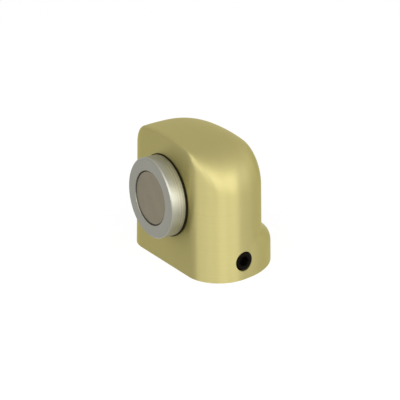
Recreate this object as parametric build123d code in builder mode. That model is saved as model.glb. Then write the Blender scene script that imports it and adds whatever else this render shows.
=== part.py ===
from build123d import *
import os
from math import atan2, cos, hypot, radians, sin, sqrt, tan

# Magnetic door stop for the floor, in millimetres.
# The magnet faces -Y, +X is to the right of someone who looks at the magnet, and the floor is z = 0.
# The origin is on the floor, midway between the two holes for the floor screws.
# Lengths from front to back are given as distances behind the housing's flat front face.

# Housing, outside
housing_width = 48.4
housing_height = 41.3
housing_depth = 25.8
front_corner_radius = 10.6
front_edge_radius = 1.2
front_top_corner_radius = 1.2
crown_radius = 70.0
top_side_radius = 13.6
wall_lean_degrees = 1.4
back_round_width = 14.0
back_round_drop = 8.0
back_corner_radius = 9.0

# Foot, the low skirt that swells out behind the housing and slopes up to its back
foot_reach = 32.3
foot_round_width = 21.0
foot_set_in = 0.15
foot_shoulder_height = 7.4
foot_shoulder_rounding = 1.5
foot_top_height = 12.4
foot_blend_radius = 1.5

# Housing, inside
side_wall = 3.6
front_wall = 4.5
smallest_inner_radius = 1.0

# Magnet cup, with the stud that holds it
cup_height_above_floor = 22.05
cup_diameter = 25.0
cup_length = 4.9
cup_chamfer = 0.4
pocket_diameter = 17.0
pocket_depth = 3.0
stud_diameter = 6.0
stud_hole_clearance = 0.2
stud_past_nut = 1.2
stud_end_chamfer = 0.6

# Magnet disc
disc_gap = 0.3
disc_recess = 0.3
disc_edge_radius = 0.2

# Washers and nut on the stud
cushion_overhang = 0.3
cushion_thickness = 0.4
flat_washer_diameter = 12.5
flat_washer_thickness = 1.0
spring_washer_diameter = 10.5
spring_washer_thickness = 1.6
spring_washer_split = 1.0
spring_washer_slant = 20.0
nut_across_flats = 10.0
nut_height = 5.0
nut_chamfer_degrees = 30.0
nut_thread_gap = 0.05
washer_hole_clearance = 0.2

# Floor plate
plate_height = 9.0
plate_clearance = 0.3
plate_screw_pitch = 18.0
plate_screw_hole = 4.8
plate_screw_head = 9.6
plate_screw_angle = 90.0

# Set screw, low on the +X side
set_screw_diameter = 6.0
set_screw_length = 6.0
set_screw_height = 5.8
set_screw_distance = 13.1
set_screw_recess = 0.35
set_screw_hole_clearance = 0.1
set_screw_seat_clearance = 0.3
set_screw_end_chamfer = 0.5
set_screw_point_diameter = 3.0
set_screw_point_length = 1.2
socket_across_flats = 3.0
socket_depth = 2.6

# How far the arches and the foot run on below the floor before they are trimmed there
trim_depth = 2.0

# Degrees of turn at which an arch is drawn, round the front corner and round the back
front_turns = (0, 6, 12, 18, 24, 30, 45, 60, 75, 90)
back_turns = (15, 30, 45, 60, 75, 90)

# How many level sections the foot is drawn through
foot_levels = 14

# Places worked out from the sizes
lean = tan(radians(wall_lean_degrees))
half_width = housing_width / 2
hollow_back = housing_depth - side_wall
front_face = -(front_wall + hollow_back) / 2
foot_run = trim_depth + foot_top_height + foot_shoulder_rounding
foot_heights = [foot_run * level / foot_levels - trim_depth for level in range(foot_levels + 1)]
cup_radius = cup_diameter / 2
cushion_diameter = cup_diameter + 2 * cushion_overhang
cup_back = -cushion_thickness
cup_front = cup_back - cup_length
pocket_radius = pocket_diameter / 2
pocket_floor = cup_front + pocket_depth
stud_radius = stud_diameter / 2
spring_washer_seat = front_wall + flat_washer_thickness
nut_seat = spring_washer_seat + spring_washer_thickness
stud_end = nut_seat + nut_height + stud_past_nut
washer_hole_radius = stud_radius + washer_hole_clearance
plate_front = front_wall + plate_clearance
set_screw_radius = set_screw_diameter / 2
set_screw_place = front_face + set_screw_distance
set_screw_outer_end = half_width - set_screw_height * lean - set_screw_recess
set_screw_tip = set_screw_outer_end - set_screw_length

# Axes of the turned pieces, and the planes that their profiles are drawn on, along the axis and out from it
cup_axis = Axis((0, 0, cup_height_above_floor), (0, 1, 0))
cup_profile_plane = Plane((0, front_face, cup_height_above_floor), x_dir=(0, 1, 0), z_dir=(1, 0, 0))
set_screw_axis = Axis((0, set_screw_place, set_screw_height), (1, 0, 0))
set_screw_profile_plane = Plane((0, set_screw_place, set_screw_height), x_dir=(1, 0, 0), z_dir=(0, -1, 0))


def across_stud(distance):
    """A plane across the stud, at a distance behind the housing's front face."""
    return Plane((0, front_face + distance, cup_height_above_floor), x_dir=(1, 0, 0), z_dir=(0, 1, 0))


def across_set_screw(distance):
    """A plane across the set screw, at a distance out from the middle of the housing."""
    return Plane((distance, set_screw_place, set_screw_height), x_dir=(0, 1, 0), z_dir=(1, 0, 0))


def flip(point):
    """The same point on the other side of the middle."""
    return (-point[0], point[1])


def arch_section(distance, half, top, corner, crown):
    """An upright arch across the housing: leaning walls, rounded corners and a crowned top."""
    crown_centre = top - crown
    slope = hypot(1, lean)
    # The corner's centre lies one corner radius inside the wall, and as far inside the crown
    start = half - corner * slope
    a = slope**2
    b = -2 * (start * lean + crown_centre)
    c = start**2 + crown_centre**2 - (crown - corner) ** 2
    centre_z = (sqrt(b**2 - 4 * a * c) - b) / (2 * a)
    centre_x = start - centre_z * lean
    first = atan2(lean, 1)
    last = atan2(centre_z - crown_centre, centre_x)
    corner_points = []
    for turn in (first, (first + last) / 2, last):
        corner_points.append((centre_x + corner * cos(turn), centre_z + corner * sin(turn)))
    wall_end, corner_middle, crown_end = corner_points
    wall_start = (half + trim_depth * lean, -trim_depth)
    with BuildSketch(Plane.XZ.offset(-front_face - distance)) as section:
        with BuildLine():
            Polyline(flip(wall_end), flip(wall_start), wall_start, wall_end)
            ThreePointArc(wall_end, corner_middle, crown_end)
            ThreePointArc(crown_end, (0, top), flip(crown_end))
            ThreePointArc(flip(crown_end), flip(corner_middle), flip(wall_end))
        make_face()
    return section.sketch


def arch_sections(front, wall, edge):
    """Arches from the front to the back, set in from the outside by a wall, with a rounded front edge."""
    half = half_width - wall
    top = housing_height - wall
    crown = crown_radius - wall
    corner = max(front_corner_radius - wall, smallest_inner_radius)
    side = max(top_side_radius - wall, smallest_inner_radius)
    sections = []
    for degrees in front_turns:
        turn = radians(degrees)
        back = corner * (1 - cos(turn))
        drop = edge - sqrt(edge**2 - (edge - back) ** 2) if back < edge else 0
        width = half - corner * (1 - sin(turn))
        rounding = front_top_corner_radius + (side - front_top_corner_radius) * sin(turn)
        sections.append(arch_section(front + back, width, top - drop, rounding, crown))
    back_round_start = front + corner
    back_round_depth = housing_depth - wall - back_round_start
    for degrees in back_turns:
        turn = radians(degrees)
        share = 1 - cos(turn)
        back = back_round_start + back_round_depth * sin(turn)
        width = half - back_round_width * share
        rounding = min(side + (back_corner_radius - top_side_radius) * share, width - smallest_inner_radius)
        sections.append(arch_section(back, width, top - back_round_drop * share, rounding, crown))
    return sections


def foot_section(height):
    """A level section through the foot: full below the shoulder, and drawn in towards the housing above."""
    slope = 1 / (foot_top_height - foot_shoulder_height)
    rise = height - foot_shoulder_height
    rounded = min(max(rise + foot_shoulder_rounding, 0), 2 * foot_shoulder_rounding)
    straight = max(rise - foot_shoulder_rounding, 0)
    share = 1 - slope * (rounded**2 / (4 * foot_shoulder_rounding) + straight)
    start = front_face + front_corner_radius
    half = half_width - height * lean - foot_set_in
    width = back_round_width + (foot_round_width - back_round_width) * share
    depth = housing_depth - front_corner_radius + (foot_reach - housing_depth) * share
    with BuildSketch(Plane.XY.offset(height)) as section:
        with BuildLine():
            right = EllipticalCenterArc((half - width, start), width, depth, start_angle=0, arc_size=90)
            left = EllipticalCenterArc((width - half, start), width, depth, start_angle=90, arc_size=90)
            Line(right @ 1, left @ 0)
            Line(left @ 1, right @ 0)
        make_face()
    return section.sketch


# Housing: a cast shell, open below, with a foot behind, a bore for the stud and a hole for the set screw
with BuildPart() as housing:
    loft(sections=arch_sections(0, 0, front_edge_radius))
    loft(sections=[foot_section(height) for height in foot_heights])
    fillet(housing.edges(Select.NEW).filter_by(Edge.is_interior), foot_blend_radius)
    split(bisect_by=Plane.XY, keep=Keep.TOP)
    loft(sections=arch_sections(front_wall, side_wall, 0), mode=Mode.SUBTRACT)
    with BuildSketch(across_stud(0)):
        Circle(stud_radius + stud_hole_clearance)
    extrude(amount=front_wall, mode=Mode.SUBTRACT)
    with BuildSketch(across_set_screw(set_screw_tip)):
        Circle(set_screw_radius + set_screw_hole_clearance)
    extrude(amount=housing_width, mode=Mode.SUBTRACT)
housing.part.label = "housing"

# Magnet cup: a turned ring with a pocket in front and a stud behind
with BuildPart() as magnet_cup:
    with BuildSketch(cup_profile_plane):
        with BuildLine():
            Polyline(
                (pocket_floor, 0),
                (stud_end, 0),
                (stud_end, stud_radius - stud_end_chamfer),
                (stud_end - stud_end_chamfer, stud_radius),
                (cup_back, stud_radius),
                (cup_back, cup_radius - cup_chamfer),
                (cup_back - cup_chamfer, cup_radius),
                (cup_front + cup_chamfer, cup_radius),
                (cup_front, cup_radius - cup_chamfer),
                (cup_front, pocket_radius),
                (pocket_floor, pocket_radius),
                close=True,
            )
        make_face()
    revolve(axis=cup_axis)
magnet_cup.part.label = "magnet_cup"

# Magnet disc: seated on the pocket's floor, a little behind the cup's rim
with BuildPart() as magnet_disc:
    with BuildSketch(across_stud(pocket_floor)):
        Circle(pocket_radius - disc_gap)
    extrude(amount=disc_recess - pocket_depth)
    fillet(magnet_disc.edges().sort_by(Axis.Y)[0], disc_edge_radius)
magnet_disc.part.label = "magnet_disc"

# Cushion washer: holds the cup a little away from the housing
with BuildPart() as cushion_washer:
    with BuildSketch(across_stud(cup_back)):
        Circle(cushion_diameter / 2)
        Circle(washer_hole_radius, mode=Mode.SUBTRACT)
    extrude(amount=cushion_thickness)
cushion_washer.part.label = "cushion_washer"

# Flat washer: on the inside of the front wall
with BuildPart() as flat_washer:
    with BuildSketch(across_stud(front_wall)):
        Circle(flat_washer_diameter / 2)
        Circle(washer_hole_radius, mode=Mode.SUBTRACT)
    extrude(amount=flat_washer_thickness)
flat_washer.part.label = "flat_washer"

# Spring washer: a split ring, pressed flat, with its slanted split at the top
with BuildPart() as spring_washer:
    with BuildSketch(across_stud(spring_washer_seat)):
        Circle(spring_washer_diameter / 2)
        Circle(washer_hole_radius, mode=Mode.SUBTRACT)
    extrude(amount=spring_washer_thickness)
    split_middle = Plane(
        (0, front_face + spring_washer_seat + spring_washer_thickness / 2, cup_height_above_floor),
        x_dir=(1, 0, 0),
        z_dir=(0, 0, 1),
    )
    with BuildSketch(split_middle.rotated((0, 0, spring_washer_slant))):
        Rectangle(spring_washer_split, 2 * spring_washer_diameter)
    extrude(amount=spring_washer_diameter, mode=Mode.SUBTRACT)
spring_washer.part.label = "spring_washer"

# Hexagon nut: with its corners turned off on both faces
nut_corner_radius = nut_across_flats / sqrt(3)
nut_chamfer = (nut_corner_radius - nut_across_flats / 2) * tan(radians(nut_chamfer_degrees))
with BuildPart() as hex_nut:
    with BuildSketch(across_stud(nut_seat)):
        RegularPolygon(nut_across_flats / 2, 6, major_radius=False)
        Circle(stud_radius + nut_thread_gap, mode=Mode.SUBTRACT)
    extrude(amount=nut_height)
    with BuildSketch(cup_profile_plane):
        with BuildLine():
            Polyline(
                (nut_seat, 0),
                (nut_seat, nut_across_flats / 2),
                (nut_seat + nut_chamfer, nut_corner_radius),
                (nut_seat + nut_height - nut_chamfer, nut_corner_radius),
                (nut_seat + nut_height, nut_across_flats / 2),
                (nut_seat + nut_height, 0),
                close=True,
            )
        make_face()
    revolve(axis=cup_axis, mode=Mode.INTERSECT)
hex_nut.part.label = "hex_nut"

# Floor plate: fills the foot of the hollow, with countersunk holes and a seat for the set screw's point
with BuildPart() as floor_plate:
    loft(sections=arch_sections(plate_front, side_wall + plate_clearance, 0))
    split(bisect_by=Plane.XY, keep=Keep.TOP)
    split(bisect_by=Plane.XY.offset(plate_height), keep=Keep.BOTTOM)
    with Locations((0, 0, plate_height)):
        with GridLocations(plate_screw_pitch, 0, 2, 1):
            CounterSinkHole(plate_screw_hole / 2, plate_screw_head / 2, counter_sink_angle=plate_screw_angle)
    with BuildSketch(across_set_screw(set_screw_tip)):
        Circle(set_screw_radius + set_screw_seat_clearance)
    extrude(amount=housing_width, mode=Mode.SUBTRACT)
floor_plate.part.label = "floor_plate"

# Set screw: a headless screw with a hexagon socket and a blunt point
with BuildPart() as set_screw:
    with BuildSketch(set_screw_profile_plane):
        with BuildLine():
            Polyline(
                (set_screw_tip, 0),
                (set_screw_outer_end, 0),
                (set_screw_outer_end, set_screw_radius - set_screw_end_chamfer),
                (set_screw_outer_end - set_screw_end_chamfer, set_screw_radius),
                (set_screw_tip + set_screw_point_length, set_screw_radius),
                (set_screw_tip, set_screw_point_diameter / 2),
                close=True,
            )
        make_face()
    revolve(axis=set_screw_axis)
    with BuildSketch(across_set_screw(set_screw_outer_end)):
        RegularPolygon(socket_across_flats / 2, 6, major_radius=False)
    extrude(amount=-socket_depth, mode=Mode.SUBTRACT)
set_screw.part.label = "set_screw"

os.makedirs("parts", exist_ok=True)
pieces = (
    housing,
    magnet_cup,
    magnet_disc,
    cushion_washer,
    flat_washer,
    spring_washer,
    hex_nut,
    floor_plate,
    set_screw,
)
for piece in pieces:
    export_step(piece.part, f"parts/{piece.part.label}.step")
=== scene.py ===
from math import cos, pi, radians, sin

import bpy
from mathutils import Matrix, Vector


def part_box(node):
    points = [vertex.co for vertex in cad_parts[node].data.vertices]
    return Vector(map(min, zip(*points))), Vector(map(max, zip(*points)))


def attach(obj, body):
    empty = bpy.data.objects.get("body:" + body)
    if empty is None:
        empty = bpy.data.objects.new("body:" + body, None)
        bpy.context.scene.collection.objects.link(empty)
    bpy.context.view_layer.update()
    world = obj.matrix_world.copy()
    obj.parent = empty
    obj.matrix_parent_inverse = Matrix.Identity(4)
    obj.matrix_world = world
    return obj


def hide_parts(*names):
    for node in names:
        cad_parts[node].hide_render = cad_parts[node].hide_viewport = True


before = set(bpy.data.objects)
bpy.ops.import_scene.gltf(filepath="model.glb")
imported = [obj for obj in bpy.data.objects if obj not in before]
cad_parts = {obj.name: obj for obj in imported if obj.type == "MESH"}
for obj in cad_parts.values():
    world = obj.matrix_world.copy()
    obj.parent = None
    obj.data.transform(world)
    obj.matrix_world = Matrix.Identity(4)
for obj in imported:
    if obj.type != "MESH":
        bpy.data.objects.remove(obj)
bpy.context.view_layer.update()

bl_info = {
    "name": "Magnetic Door Stop",
    "version": (1, 0, 0),
    "blender": (4, 5, 0),
    "location": "3D View > Sidebar > Door Stop",
    "description": "Models and finishes a magnetic door stop for the floor around its CAD frame",
    "category": "Object",
}

MM = 0.001
BODY = "root"

# Boxes of the turned pieces, which give their axes and ends
cup_low, cup_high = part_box("magnet_cup")
disc_low, disc_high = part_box("magnet_disc")
cushion_low, cushion_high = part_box("cushion_washer")
screw_low, screw_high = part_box("set_screw")
cup_centre = (cup_low + cup_high) / 2
screw_centre = (screw_low + screw_high) / 2

# Directions from side to side and from front to back
ACROSS = Vector((1, 0, 0))
ALONG = Vector((0, 1, 0))


class DoorStopSizes(bpy.types.PropertyGroup):
    """Sizes of the details that are modelled over the CAD frame"""

    cup_length: bpy.props.FloatProperty(
        name="Cup length",
        description="Length of the magnet cup from its rim to its back",
        default=cushion_low.y - cup_low.y,
        unit="LENGTH",
    )
    cup_edge: bpy.props.FloatProperty(
        name="Cup edge",
        description="Width of the bevel on the edge of the cup's rim",
        default=0.4 * MM,
        unit="LENGTH",
    )
    pocket_diameter: bpy.props.FloatProperty(
        name="Pocket diameter",
        description="Diameter of the pocket that holds the magnet disc",
        default=17.0 * MM,
        unit="LENGTH",
    )
    pocket_depth: bpy.props.FloatProperty(
        name="Pocket depth",
        description="Depth of the pocket behind the cup's rim",
        default=disc_high.y - cup_low.y,
        unit="LENGTH",
    )
    stud_diameter: bpy.props.FloatProperty(
        name="Stud diameter",
        description="Diameter of the stud behind the cup",
        default=6.0 * MM,
        unit="LENGTH",
    )
    stud_end_chamfer: bpy.props.FloatProperty(
        name="Stud end chamfer",
        description="Width of the chamfer on the stud's end",
        default=0.6 * MM,
        unit="LENGTH",
    )
    cushion_hole_clearance: bpy.props.FloatProperty(
        name="Cushion hole clearance",
        description="Gap between the stud and the hole in the cushion washer",
        default=0.2 * MM,
        unit="LENGTH",
    )
    small_edge: bpy.props.FloatProperty(
        name="Small edge",
        description="Rounding of the small turned edges",
        default=0.12 * MM,
        unit="LENGTH",
    )
    screw_point_diameter: bpy.props.FloatProperty(
        name="Screw point diameter",
        description="Diameter of the flat at the set screw's point",
        default=3.0 * MM,
        unit="LENGTH",
    )
    screw_point_length: bpy.props.FloatProperty(
        name="Screw point length",
        description="Length of the set screw's tapered point",
        default=1.2 * MM,
        unit="LENGTH",
    )
    screw_end_chamfer: bpy.props.FloatProperty(
        name="Screw end chamfer",
        description="Width of the chamfer on the set screw's outer end",
        default=0.5 * MM,
        unit="LENGTH",
    )
    socket_across_flats: bpy.props.FloatProperty(
        name="Socket across flats",
        description="Width of the set screw's hexagon socket",
        default=3.0 * MM,
        unit="LENGTH",
    )
    socket_depth: bpy.props.FloatProperty(
        name="Socket depth",
        description="Depth of the set screw's hexagon socket",
        default=2.6 * MM,
        unit="LENGTH",
    )


class DoorStopFinishes(bpy.types.PropertyGroup):
    """Colours of the finishes"""

    brass: bpy.props.FloatVectorProperty(
        name="Satin brass",
        description="Colour of the lacquered brass",
        default=(0.395, 0.350, 0.146),
        subtype="COLOR",
    )
    # The cup's face: its nickel is painted darker than the side, as painted shade
    nickel_face_painted_shade: bpy.props.FloatVectorProperty(
        name="Nickel face with painted shade",
        description="Colour of the magnet cup's face",
        default=(0.275, 0.270, 0.230),
        subtype="COLOR",
    )
    # The cup's side: its nickel is painted lighter, as a painted highlight, and yellowish, as a painted
    # reflection of the brass
    nickel_side_painted_highlight: bpy.props.FloatVectorProperty(
        name="Nickel side with painted highlight",
        description="Colour of the magnet cup's turned side",
        default=(0.37, 0.365, 0.305),
        subtype="COLOR",
    )
    magnet: bpy.props.FloatVectorProperty(
        name="Magnet",
        description="Colour of the dull magnet disc",
        default=(0.190, 0.166, 0.116),
        subtype="COLOR",
    )
    rubber: bpy.props.FloatVectorProperty(
        name="Rubber",
        description="Colour of the cushion washer",
        default=(0.010, 0.008, 0.002),
        subtype="COLOR",
    )
    zinc: bpy.props.FloatVectorProperty(
        name="Zinc",
        description="Colour of the plated washers and nut",
        default=(0.55, 0.56, 0.56),
        subtype="COLOR",
    )
    plate_steel: bpy.props.FloatVectorProperty(
        name="Plate steel",
        description="Colour of the milled floor plate",
        default=(0.42, 0.42, 0.41),
        subtype="COLOR",
    )
    black_steel: bpy.props.FloatVectorProperty(
        name="Black steel",
        description="Colour of the blackened set screw",
        default=(0.003, 0.0025, 0.0015),
        subtype="COLOR",
    )
    floor: bpy.props.FloatVectorProperty(
        name="Floor",
        description="Colour of the studio floor",
        default=(0.93, 0.93, 0.93),
        subtype="COLOR",
    )


class Wire:
    """An output socket. Arithmetic on it adds Math nodes to its tree."""

    def __init__(self, tree, socket):
        self.tree = tree
        self.socket = socket

    def math(self, operation, first, second):
        return self.tree.add("ShaderNodeMath", {"operation": operation}, {0: first, 1: second})

    def __add__(self, other):
        return self.math("ADD", self, other)

    def __radd__(self, other):
        return self.math("ADD", other, self)

    def __sub__(self, other):
        return self.math("SUBTRACT", self, other)

    def __rsub__(self, other):
        return self.math("SUBTRACT", other, self)

    def __mul__(self, other):
        return self.math("MULTIPLY", self, other)

    def __rmul__(self, other):
        return self.math("MULTIPLY", other, self)

    def __truediv__(self, other):
        return self.math("DIVIDE", self, other)

    def __rtruediv__(self, other):
        return self.math("DIVIDE", other, self)

    def __pow__(self, other):
        return self.math("POWER", self, other)

    def __rpow__(self, other):
        return self.math("POWER", other, self)


class Tree:
    """A node tree that is filled one node at a time."""

    def __init__(self, owner):
        owner.use_nodes = True
        self.nodes = owner.node_tree.nodes
        self.links = owner.node_tree.links
        self.nodes.clear()

    def add(self, kind, settings=None, inputs=None, output=0):
        """Adds a node, sets it up, feeds its sockets and gives back one of its outputs."""
        node = self.nodes.new(kind)
        for name, value in (settings or {}).items():
            setattr(node, name, value)
        for name, value in (inputs or {}).items():
            if isinstance(value, Wire):
                self.links.new(value.socket, node.inputs[name])
            else:
                node.inputs[name].default_value = value
        return Wire(self, node.outputs[output]) if node.outputs else None

    def place(self, centre=(0, 0, 0), scale=(1, 1, 1)):
        """Object coordinates, measured from a centre and scaled."""
        coordinates = self.add("ShaderNodeTexCoord", output="Object")
        offset = tuple(-c * s for c, s in zip(centre, scale))
        inputs = {"Vector": coordinates, "Location": offset, "Scale": scale}
        return self.add("ShaderNodeMapping", None, inputs)

    def parts(self, vector):
        """The three numbers of a vector."""
        return [self.add("ShaderNodeSeparateXYZ", None, {0: vector}, axis) for axis in range(3)]

    def noise(self, vector, scale=1.0, detail=2.0):
        """A noise value from 0 to 1 at a place."""
        return self.add("ShaderNodeTexNoise", None, {"Vector": vector, "Scale": scale, "Detail": detail})

    def ramp(self, number, low, high):
        """0 where a number is below a range, 1 above it, and smooth between."""
        settings = {"interpolation_type": "SMOOTHSTEP"}
        return self.add("ShaderNodeMapRange", settings, {"Value": number, "From Min": low, "From Max": high})

    def line_noise(self, number, detail=2.0):
        """A noise value from 0 to 1 along a line."""
        settings = {"noise_dimensions": "1D"}
        return self.add("ShaderNodeTexNoise", settings, {"W": number, "Scale": 1.0, "Detail": detail})

    def between(self, share, first, second):
        """A colour between two colours."""
        settings = {"data_type": "RGBA"}
        return self.add("ShaderNodeMix", settings, {0: share, 6: first, 7: second}, 2)

    def bump(self, height, strength, distance):
        """A normal that is tilted by a height."""
        inputs = {"Height": height, "Strength": strength, "Distance": distance}
        return self.add("ShaderNodeBump", None, inputs)


def shade(colour, factor):
    """A colour made lighter or darker, with the alpha that a colour socket needs."""
    return (*(c * factor for c in colour), 1.0)


def principled(tree, **sockets):
    """A Principled shader with the values or wires of its sockets."""
    return tree.add("ShaderNodeBsdfPrincipled", None, {k.replace("_", " "): v for k, v in sockets.items()})


def surface(tree, **sockets):
    """A surface of one Principled shader."""
    tree.add("ShaderNodeOutputMaterial", None, {"Surface": principled(tree, **sockets)})


def new_finish(name):
    """A new material and its empty node tree."""
    material = bpy.data.materials.new(name)
    return material, Tree(material)


# What brass reflects at a glancing angle: it stays yellow
BRASS_EDGE = (0.90, 0.85, 0.45, 1.0)

# How often the lines of the brushed and milled faces vary along x, y and z, in cycles per metre
WALL_BRUSHING = (45, 45, 2600)
TOP_BRUSHING = (45, 2600, 45)
PLATE_MILLING = (60, 1800, 1800)

# How far apart the turned lines on the cup and on the washers and nut are
CUP_LINE_PITCH = 0.45 * MM
ZINC_LINE_PITCH = 0.3 * MM

# How deep the lines of the finishes are
BRUSHED_DEPTH = 0.03 * MM
TURNED_DEPTH = 0.04 * MM
MILLED_DEPTH = 0.04 * MM
ZINC_DEPTH = 0.03 * MM

# Upward parts of the normal between which a brass wall becomes a level face
LEVEL_FROM = 0.45
LEVEL_TO = 0.90

# Distances behind the cup's rim between which the face's painted shade gives way to the side's painted
# highlight
BRIGHT_FROM = 0.1 * MM
BRIGHT_TO = 0.5 * MM


def satin_brass():
    """Brushed brass: level lines on the walls, and lines from side to side on the top and below."""
    colour = bpy.context.scene.door_stop_finishes.brass
    material, tree = new_finish("brushed_brass")
    upward = tree.parts(tree.add("ShaderNodeTexCoord", output="Normal"))[2]
    slope = tree.add("ShaderNodeMath", {"operation": "ABSOLUTE"}, {0: upward})
    level = tree.ramp(slope, LEVEL_FROM, LEVEL_TO)
    wall_lines = tree.noise(tree.place(scale=WALL_BRUSHING), detail=3.0)
    top_lines = tree.noise(tree.place(scale=TOP_BRUSHING), detail=3.0)
    lines = wall_lines * (1 - level) + top_lines * level
    clouds = tree.noise(tree.place(), scale=90.0, detail=3.0)
    finish = {
        "Base_Color": tree.between(lines * 0.6 + clouds * 0.4, shade(colour, 0.90), shade(colour, 1.10)),
        "Metallic": 1.0,
        "Specular_Tint": BRASS_EDGE,
        "Coat_Weight": 0.2,
        "Coat_Roughness": 0.3,
        "Roughness": 0.37 + lines * 0.10 + clouds * 0.06 + level * 0.14,
        "Normal": tree.bump(lines, 0.10, BRUSHED_DEPTH),
    }
    brushed = principled(tree, Anisotropic=0.90, Anisotropic_Rotation=0.25, **finish)
    even = principled(tree, **finish)
    both = tree.add("ShaderNodeMixShader", None, {0: level, 1: brushed, 2: even})
    tree.add("ShaderNodeOutputMaterial", None, {"Surface": both})
    return material


def turned_nickel(rim):
    """Nickel on the magnet cup with turned lines: painted darker on the face as painted shade, and painted
    lighter and yellowish on the rougher side behind it as a painted highlight and a painted reflection of
    the brass.
    """
    colours = bpy.context.scene.door_stop_finishes
    material, tree = new_finish("turned_nickel")
    across, along, upward = tree.parts(tree.place(centre=cup_centre))
    face_place = rim - cup_centre.y
    behind = tree.ramp(along, face_place + BRIGHT_FROM, face_place + BRIGHT_TO)
    out = (across * across + upward * upward) ** 0.5
    lines = tree.line_noise((out + along) / CUP_LINE_PITCH, detail=4.0)
    clouds = tree.noise(tree.place(), scale=260.0, detail=4.0)
    tint = lines * 0.7 + clouds * 0.3
    # Painted shade on the face, and on the side a painted highlight that is yellowish as a painted
    # reflection of the brass
    face = tree.between(tint, shade(colours.nickel_face_painted_shade, 0.88), shade(colours.nickel_face_painted_shade, 1.12))
    side = tree.between(tint, shade(colours.nickel_side_painted_highlight, 0.55), shade(colours.nickel_side_painted_highlight, 1.45))
    surface(
        tree,
        Base_Color=tree.between(behind, face, side),
        Metallic=1.0,
        Roughness=0.26 + behind * 0.17 + lines * 0.14 + clouds * 0.06,
        Normal=tree.bump(lines, 0.5, TURNED_DEPTH),
    )
    return material


def zinc_plating():
    """Zinc on the washers and the nut, with fine lines turned round the stud."""
    colour = bpy.context.scene.door_stop_finishes.zinc
    material, tree = new_finish("zinc_plating")
    across, along, upward = tree.parts(tree.place(centre=cup_centre))
    out = (across * across + upward * upward) ** 0.5
    lines = tree.line_noise((out + along) / ZINC_LINE_PITCH, detail=3.0)
    clouds = tree.noise(tree.place(), scale=260.0, detail=4.0)
    surface(
        tree,
        Base_Color=tree.between(lines * 0.5 + clouds * 0.5, shade(colour, 0.86), shade(colour, 1.14)),
        Metallic=1.0,
        Roughness=0.32 + lines * 0.14 + clouds * 0.06,
        Normal=tree.bump(lines, 0.35, ZINC_DEPTH),
    )
    return material


def mottled_finish(name, colour, metallic, gloss, roughness, grain, contrast):
    """A dull, fine-grained surface."""
    material, tree = new_finish(name)
    grains = tree.noise(tree.place(), scale=1 / grain, detail=4.0)
    clouds = tree.noise(tree.place(), scale=220.0, detail=3.0)
    tint = grains * 0.5 + clouds * 0.5
    surface(
        tree,
        Base_Color=tree.between(tint, shade(colour, 1 - contrast), shade(colour, 1 + contrast)),
        Metallic=metallic,
        Specular_IOR_Level=gloss,
        Roughness=roughness + (grains - 0.5) * 0.12,
        Normal=tree.bump(grains, 0.25, grain * 0.1),
    )
    return material


def milled_steel():
    """Steel with straight milling lines from side to side."""
    colour = bpy.context.scene.door_stop_finishes.plate_steel
    material, tree = new_finish("milled_steel")
    lines = tree.noise(tree.place(scale=PLATE_MILLING), detail=2.0)
    clouds = tree.noise(tree.place(), scale=150.0, detail=3.0)
    surface(
        tree,
        Base_Color=tree.between(lines * 0.6 + clouds * 0.4, shade(colour, 0.8), shade(colour, 1.15)),
        Metallic=1.0,
        Roughness=0.36 + lines * 0.16,
        Normal=tree.bump(lines, 0.2, MILLED_DEPTH),
    )
    return material


# Points of a mesh that are nearer than this become one point
SEAM = 0.002 * MM

# A copied mesh has slivers thinner than this, which leave narrow cracks. Both are closed round by round
SLIVER = 0.003 * MM
CRACK = 0.02 * MM
CLOSING_ROUNDS = 5

# Faces that meet at less than this angle are shaded as one
SMOOTH_ANGLE = radians(30)


def round_corners(corners, steps=5):
    """An outline of (out, along) points with its corners rounded by their own radii."""
    outline = []
    for number, (out, along, radius) in enumerate(corners):
        corner = Vector((out, along))
        if radius == 0:
            outline.append(corner)
            continue
        before = Vector(corners[number - 1][:2]) - corner
        after = Vector(corners[number + 1][:2]) - corner
        before.normalize()
        after.normalize()
        half_turn = before.angle(after) / 2
        reach = radius / sin(half_turn) * cos(half_turn)
        centre = corner + (before + after).normalized() * (radius / sin(half_turn))
        start = corner + before * reach - centre
        end = corner + after * reach - centre
        for step in range(steps + 1):
            arm = start.lerp(end, step / steps)
            outline.append(centre + arm.normalized() * radius)
    return outline


def start_point(name):
    """A new object in edit mode that is one point at the origin."""
    bpy.ops.object.select_all(action="DESELECT")
    bpy.ops.mesh.primitive_plane_add(size=MM)
    piece = bpy.context.object
    piece.name = name
    piece.data.name = name
    bpy.ops.object.mode_set(mode="EDIT")
    bpy.ops.mesh.select_all(action="SELECT")
    bpy.ops.mesh.merge(type="CENTER")
    return piece


def turn(name, outline, centre, axis, out, steps=192):
    """A turned piece: an outline of (out, along) points is drawn by extruding and spun round an axis."""
    piece = start_point(name)
    points = [centre + out * point.x + axis * point.y for point in outline]
    bpy.ops.transform.translate(value=points[0])
    for last, point in zip(points, points[1:]):
        bpy.ops.mesh.extrude_region_move(TRANSFORM_OT_translate={"value": point - last})
    bpy.ops.mesh.select_all(action="SELECT")
    bpy.ops.mesh.spin(steps=steps, angle=2 * pi, center=centre, axis=axis)
    bpy.ops.mesh.select_all(action="SELECT")
    bpy.ops.mesh.remove_doubles(threshold=SEAM)
    bpy.ops.mesh.normals_make_consistent(inside=False)
    bpy.ops.object.mode_set(mode="OBJECT")
    return piece


def finish_piece(piece, node, material):
    """Smooths a piece's shading, gives it its finish and puts it in its node's place."""
    bpy.ops.object.select_all(action="DESELECT")
    bpy.context.view_layer.objects.active = piece
    piece.select_set(True)
    bpy.ops.object.shade_smooth_by_angle(angle=SMOOTH_ANGLE)
    piece.data.materials.clear()
    piece.data.materials.append(material)
    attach(piece, BODY)
    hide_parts(node)


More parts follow.
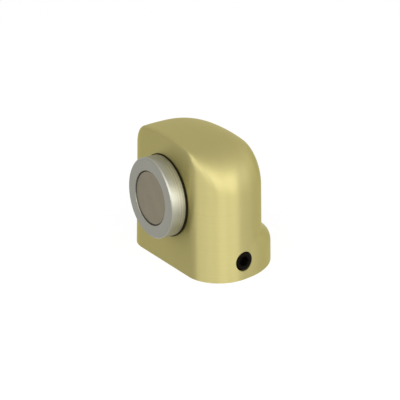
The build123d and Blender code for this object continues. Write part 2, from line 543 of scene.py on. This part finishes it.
def copy_node(node, name):
    """A copy of a CAD node's mesh as a new piece, merged, with its slivers and cracks closed."""
    bpy.ops.object.select_all(action="DESELECT")
    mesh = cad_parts[node].data.copy()
    mesh.name = name
    piece = bpy.data.objects.new(name, mesh)
    bpy.context.collection.objects.link(piece)
    bpy.context.view_layer.objects.active = piece
    piece.select_set(True)
    bpy.ops.object.mode_set(mode="EDIT")
    bpy.ops.mesh.select_mode(type="VERT")
    bpy.ops.mesh.select_all(action="SELECT")
    bpy.ops.mesh.remove_doubles(threshold=SEAM)
    bpy.ops.mesh.customdata_custom_splitnormals_clear()
    for _ in range(CLOSING_ROUNDS):
        bpy.ops.mesh.select_all(action="SELECT")
        bpy.ops.mesh.dissolve_degenerate(threshold=SLIVER)
        bpy.ops.mesh.select_all(action="DESELECT")
        bpy.ops.mesh.select_non_manifold()
        bpy.ops.mesh.remove_doubles(threshold=CRACK)
    bpy.ops.object.mode_set(mode="OBJECT")
    return piece


def dress_node(node, material):
    """Gives a CAD node that stays in view its finish."""
    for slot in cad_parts[node].material_slots:
        slot.material = material


class DOORSTOP_OT_housing(bpy.types.Operator):
    """Makes the brass housing from the CAD mesh, with its triangles merged"""

    bl_idname = "door_stop.housing"
    bl_label = "Housing"

    def execute(self, context):
        piece = copy_node("housing", "brass_housing")
        finish_piece(piece, "housing", satin_brass())
        return {"FINISHED"}


class DOORSTOP_OT_magnet_cup(bpy.types.Operator):
    """Turns the plated cup with its pocket and its stud"""

    bl_idname = "door_stop.magnet_cup"
    bl_label = "Magnet Cup"

    def execute(self, context):
        sizes = context.scene.door_stop_sizes
        rim = cup_low.y
        back = rim + sizes.cup_length
        floor = rim + sizes.pocket_depth
        cup = (cup_high.x - cup_low.x) / 2
        pocket = sizes.pocket_diameter / 2
        stud = sizes.stud_diameter / 2
        end = cup_high.y
        chamfer = sizes.stud_end_chamfer
        bevel = sizes.cup_edge
        soft = sizes.small_edge
        corners = [
            (0, end, 0),
            (stud - chamfer, end, soft),
            (stud, end - chamfer, soft),
            (stud, back, 0),
            (cup, back, soft),
            (cup, rim + bevel, soft),
            (cup - bevel, rim, soft),
            (pocket, rim, soft),
            (pocket, floor, 0),
            (0, floor, 0),
        ]
        axis_start = Vector((0, 0, cup_centre.z))
        piece = turn("magnet_cup_turned", round_corners(corners), axis_start, ALONG, ACROSS)
        finish_piece(piece, "magnet_cup", turned_nickel(rim))
        return {"FINISHED"}


class DOORSTOP_OT_magnet_disc(bpy.types.Operator):
    """Turns the dull magnet disc in the cup's pocket"""

    bl_idname = "door_stop.magnet_disc"
    bl_label = "Magnet Disc"

    def execute(self, context):
        radius = (disc_high.x - disc_low.x) / 2
        soft = context.scene.door_stop_sizes.small_edge
        corners = [
            (0, disc_high.y, 0),
            (radius, disc_high.y, soft),
            (radius, disc_low.y, 2 * soft),
            (0, disc_low.y, 0),
        ]
        axis_start = Vector((0, 0, cup_centre.z))
        piece = turn("magnet_disc_turned", round_corners(corners), axis_start, ALONG, ACROSS)
        colour = context.scene.door_stop_finishes.magnet
        material = mottled_finish(
            "dull_magnet", colour, metallic=0.7, gloss=0.5, roughness=0.55, grain=0.35 * MM, contrast=0.22
        )
        finish_piece(piece, "magnet_disc", material)
        return {"FINISHED"}


class DOORSTOP_OT_cushion_washer(bpy.types.Operator):
    """Turns the rubber washer between the cup and the housing"""

    bl_idname = "door_stop.cushion_washer"
    bl_label = "Cushion Washer"

    def execute(self, context):
        sizes = context.scene.door_stop_sizes
        radius = (cushion_high.x - cushion_low.x) / 2
        hole = sizes.stud_diameter / 2 + sizes.cushion_hole_clearance
        front, back = cushion_low.y, cushion_high.y
        soft = sizes.small_edge
        corners = [
            (hole, back, 0),
            (radius, back, soft),
            (radius, front, soft),
            (hole, front, 0),
        ]
        outline = round_corners(corners)
        outline.append(outline[0])
        axis_start = Vector((0, 0, cup_centre.z))
        piece = turn("cushion_washer_turned", outline, axis_start, ALONG, ACROSS)
        colour = context.scene.door_stop_finishes.rubber
        material = mottled_finish(
            "matt_rubber", colour, metallic=0.0, gloss=0.08, roughness=0.75, grain=0.3 * MM, contrast=0.3
        )
        finish_piece(piece, "cushion_washer", material)
        return {"FINISHED"}


class DOORSTOP_OT_set_screw(bpy.types.Operator):
    """Turns the blackened set screw and cuts its hexagon socket"""

    bl_idname = "door_stop.set_screw"
    bl_label = "Set Screw"

    def execute(self, context):
        sizes = context.scene.door_stop_sizes
        radius = (screw_high.y - screw_low.y) / 2
        tip, end = screw_low.x, screw_high.x
        chamfer = sizes.screw_end_chamfer
        soft = sizes.small_edge
        corners = [
            (0, tip, 0),
            (sizes.screw_point_diameter / 2, tip, soft),
            (radius, tip + sizes.screw_point_length, soft),
            (radius, end - chamfer, soft),
            (radius - chamfer, end, soft),
            (0, end, 0),
        ]
        axis_start = Vector((0, screw_centre.y, screw_centre.z))
        outline = round_corners(corners)
        piece = turn("set_screw_turned", outline, axis_start, ACROSS, ALONG, steps=96)
        self.cut_socket(piece, end, sizes)
        colour = context.scene.door_stop_finishes.black_steel
        material = mottled_finish(
            "black_oxide", colour, metallic=0.0, gloss=0.03, roughness=0.48, grain=0.25 * MM, contrast=0.25
        )
        finish_piece(piece, "set_screw", material)
        return {"FINISHED"}

    def cut_socket(self, piece, end, sizes):
        """Cuts the hexagon socket into the screw's outer end."""
        bpy.ops.object.select_all(action="DESELECT")
        bpy.ops.mesh.primitive_cylinder_add(
            vertices=6,
            radius=sizes.socket_across_flats / 2 / cos(radians(30)),
            depth=2 * sizes.socket_depth,
            location=(end, screw_centre.y, screw_centre.z),
            rotation=(0, radians(90), 0),
        )
        cutter = bpy.context.object
        bpy.ops.object.transform_apply(location=True, rotation=True, scale=True)
        bpy.ops.object.select_all(action="DESELECT")
        bpy.context.view_layer.objects.active = piece
        piece.select_set(True)
        cut = piece.modifiers.new("socket", "BOOLEAN")
        cut.operation = "DIFFERENCE"
        cut.object = cutter
        cut.solver = "EXACT"
        bpy.ops.object.modifier_apply(modifier=cut.name)
        bpy.data.objects.remove(cutter)


class DOORSTOP_OT_fastenings(bpy.types.Operator):
    """Finishes the washers and the nut on the stud, inside the housing"""

    bl_idname = "door_stop.fastenings"
    bl_label = "Fastenings"

    def execute(self, context):
        material = zinc_plating()
        for node in ("flat_washer", "spring_washer", "hex_nut"):
            dress_node(node, material)
        return {"FINISHED"}


class DOORSTOP_OT_floor_plate(bpy.types.Operator):
    """Finishes the milled plate that is screwed to the floor"""

    bl_idname = "door_stop.floor_plate"
    bl_label = "Floor Plate"

    def execute(self, context):
        dress_node("floor_plate", milled_steel())
        return {"FINISHED"}


# Softboxes stand round the object. Each has a name, a direction in degrees from -Y towards +X,
# a height in degrees, a width in metres and a brightness, where 1 is as bright as white paper.
SOFTBOXES = (
    ("front_softbox", 0, 15, 0.61, 3.0),
    ("corner_softbox", 36, 15, 0.61, 3.3),
    ("near_side_softbox", 72, 15, 0.61, 4.7),
    ("side_softbox", 108, 15, 0.61, 4.3),
    ("back_softbox", 144, 15, 0.61, 1.6),
    ("far_softbox", 180, 15, 0.61, 0.7),
    ("high_softbox", 24, 45, 0.59, 0.8),
)
SOFTBOX_HEIGHT = 0.52
SOFTBOX_DISTANCE = 1.0
LIT_POINT = Vector((0, 0, 0.02))

# The camera that was fitted to the photograph
CAMERA_PLACE = (0.781045, -0.49753, 0.394974)
CAMERA_TURN = (radians(67.819), 0, radians(57.546))
CAMERA_LENS = 296.22
SENSOR_WIDTH = 36

# The floor's width, its glow to the camera and the glow's share of what is seen
FLOOR_SIZE = 6
FLOOR_GLOW = 1.06
GLOW_SHARE = 0.86

# The dim light from all round
SKY_LIGHT = 0.35

# The floor lies this far below the part, so that their faces don't coincide in a view from below
FLOOR_GAP = 0.02 * MM

# How bright the white surroundings are in mirrors and glass, next to what the camera sees of them
MIRRORED_WHITE = 0.88


class DOORSTOP_OT_stage(bpy.types.Operator):
    """Sets up the floor, the soft lights, the white background and the camera"""

    bl_idname = "door_stop.stage"
    bl_label = "Stage"

    def execute(self, context):
        scene = context.scene
        scene.view_settings.view_transform = "Standard"
        self.lay_floor(scene.door_stop_finishes.floor)
        self.light_world(scene)
        for name, turn_degrees, rise_degrees, width, brightness in SOFTBOXES:
            across, rise = radians(turn_degrees), radians(rise_degrees)
            way = Vector((sin(across) * cos(rise), -cos(across) * cos(rise), sin(rise)))
            lamp = bpy.data.lights.new(name, "AREA")
            lamp.shape = "RECTANGLE"
            lamp.size = width
            lamp.size_y = SOFTBOX_HEIGHT
            lamp.energy = brightness * pi * width * SOFTBOX_HEIGHT
            softbox = bpy.data.objects.new(name, lamp)
            softbox.location = LIT_POINT + way * SOFTBOX_DISTANCE
            softbox.rotation_euler = way.to_track_quat("Z", "Y").to_euler()
            softbox.visible_camera = False
            scene.collection.objects.link(softbox)
        camera = bpy.data.cameras.new("camera")
        camera.sensor_width = SENSOR_WIDTH
        camera.lens = CAMERA_LENS
        viewer = bpy.data.objects.new("camera", camera)
        viewer.location = CAMERA_PLACE
        viewer.rotation_euler = CAMERA_TURN
        scene.collection.objects.link(viewer)
        scene.camera = viewer
        return {"FINISHED"}

    def lay_floor(self, colour):
        """A pale floor that is nearly white to the camera and in reflections, and keeps a soft shadow."""
        bpy.ops.object.select_all(action="DESELECT")
        bpy.ops.mesh.primitive_plane_add(size=FLOOR_SIZE, location=(0, 0, -FLOOR_GAP))
        floor = bpy.context.object
        bpy.ops.object.transform_apply(location=True, rotation=True, scale=True)
        floor.name = "studio_floor"
        material, tree = new_finish("studio_floor")
        seen = self.seen_directly(tree)
        paint = tree.add("ShaderNodeBsdfDiffuse", None, {"Color": shade(colour, 1)})
        glow = tree.add("ShaderNodeEmission", None, {"Color": (1, 1, 1, 1), "Strength": FLOOR_GLOW})
        pale = tree.add("ShaderNodeMixShader", None, {0: seen * GLOW_SHARE, 1: paint, 2: glow})
        under = tree.add("ShaderNodeNewGeometry", output="Backfacing")
        clear = tree.add("ShaderNodeBsdfTransparent")
        both = tree.add("ShaderNodeMixShader", None, {0: under, 1: pale, 2: clear})
        tree.add("ShaderNodeOutputMaterial", None, {"Surface": both})
        material.cycles.emission_sampling = "NONE"
        floor.data.materials.append(material)

    def light_world(self, scene):
        """White behind the floor, and a dim light from all round."""
        scene.world = bpy.data.worlds.new("studio")
        tree = Tree(scene.world)
        strength = SKY_LIGHT + self.seen_directly(tree) * (1 - SKY_LIGHT)
        scene.world.cycles.sampling_method = "NONE"
        sky = tree.add("ShaderNodeBackground", None, {"Color": (1, 1, 1, 1), "Strength": strength})
        tree.add("ShaderNodeOutputWorld", None, {"Surface": sky})

    def seen_directly(self, tree):
        """1 where the camera sees the surface, a little less in mirrors and glass, and 0 for other light."""
        path = "ShaderNodeLightPath"
        camera = tree.add(path, output="Is Camera Ray")
        glossy = tree.add(path, output="Is Glossy Ray")
        through = tree.add(path, output="Is Transmission Ray")
        mirrored = (glossy + through) * MIRRORED_WHITE
        return tree.add("ShaderNodeMath", {"operation": "MAXIMUM"}, {0: camera, 1: mirrored})


STEPS = (
    DOORSTOP_OT_housing,
    DOORSTOP_OT_magnet_cup,
    DOORSTOP_OT_magnet_disc,
    DOORSTOP_OT_cushion_washer,
    DOORSTOP_OT_set_screw,
    DOORSTOP_OT_fastenings,
    DOORSTOP_OT_floor_plate,
    DOORSTOP_OT_stage,
)


class DOORSTOP_PT_panel(bpy.types.Panel):
    """Lists the pieces, their sizes and their colours"""

    bl_idname = "DOORSTOP_PT_panel"
    bl_label = "Magnetic Door Stop"
    bl_space_type = "VIEW_3D"
    bl_region_type = "UI"
    bl_category = "Door Stop"

    def draw(self, context):
        column = self.layout.column()
        for group in (context.scene.door_stop_sizes, context.scene.door_stop_finishes):
            for name in group.__annotations__:
                column.prop(group, name)
        for step in STEPS:
            column.operator(step.bl_idname)


CLASSES = (DoorStopSizes, DoorStopFinishes, *STEPS, DOORSTOP_PT_panel)


def register():
    for cls in CLASSES:
        bpy.utils.register_class(cls)
    bpy.types.Scene.door_stop_sizes = bpy.props.PointerProperty(type=DoorStopSizes)
    bpy.types.Scene.door_stop_finishes = bpy.props.PointerProperty(type=DoorStopFinishes)


def unregister():
    del bpy.types.Scene.door_stop_finishes
    del bpy.types.Scene.door_stop_sizes
    for cls in reversed(CLASSES):
        bpy.utils.unregister_class(cls)


def main():
    register()
    bpy.ops.door_stop.housing()
    bpy.ops.door_stop.magnet_cup()
    bpy.ops.door_stop.magnet_disc()
    bpy.ops.door_stop.cushion_washer()
    bpy.ops.door_stop.set_screw()
    bpy.ops.door_stop.fastenings()
    bpy.ops.door_stop.floor_plate()
    bpy.ops.door_stop.stage()


if __name__ == "__main__":
    main()
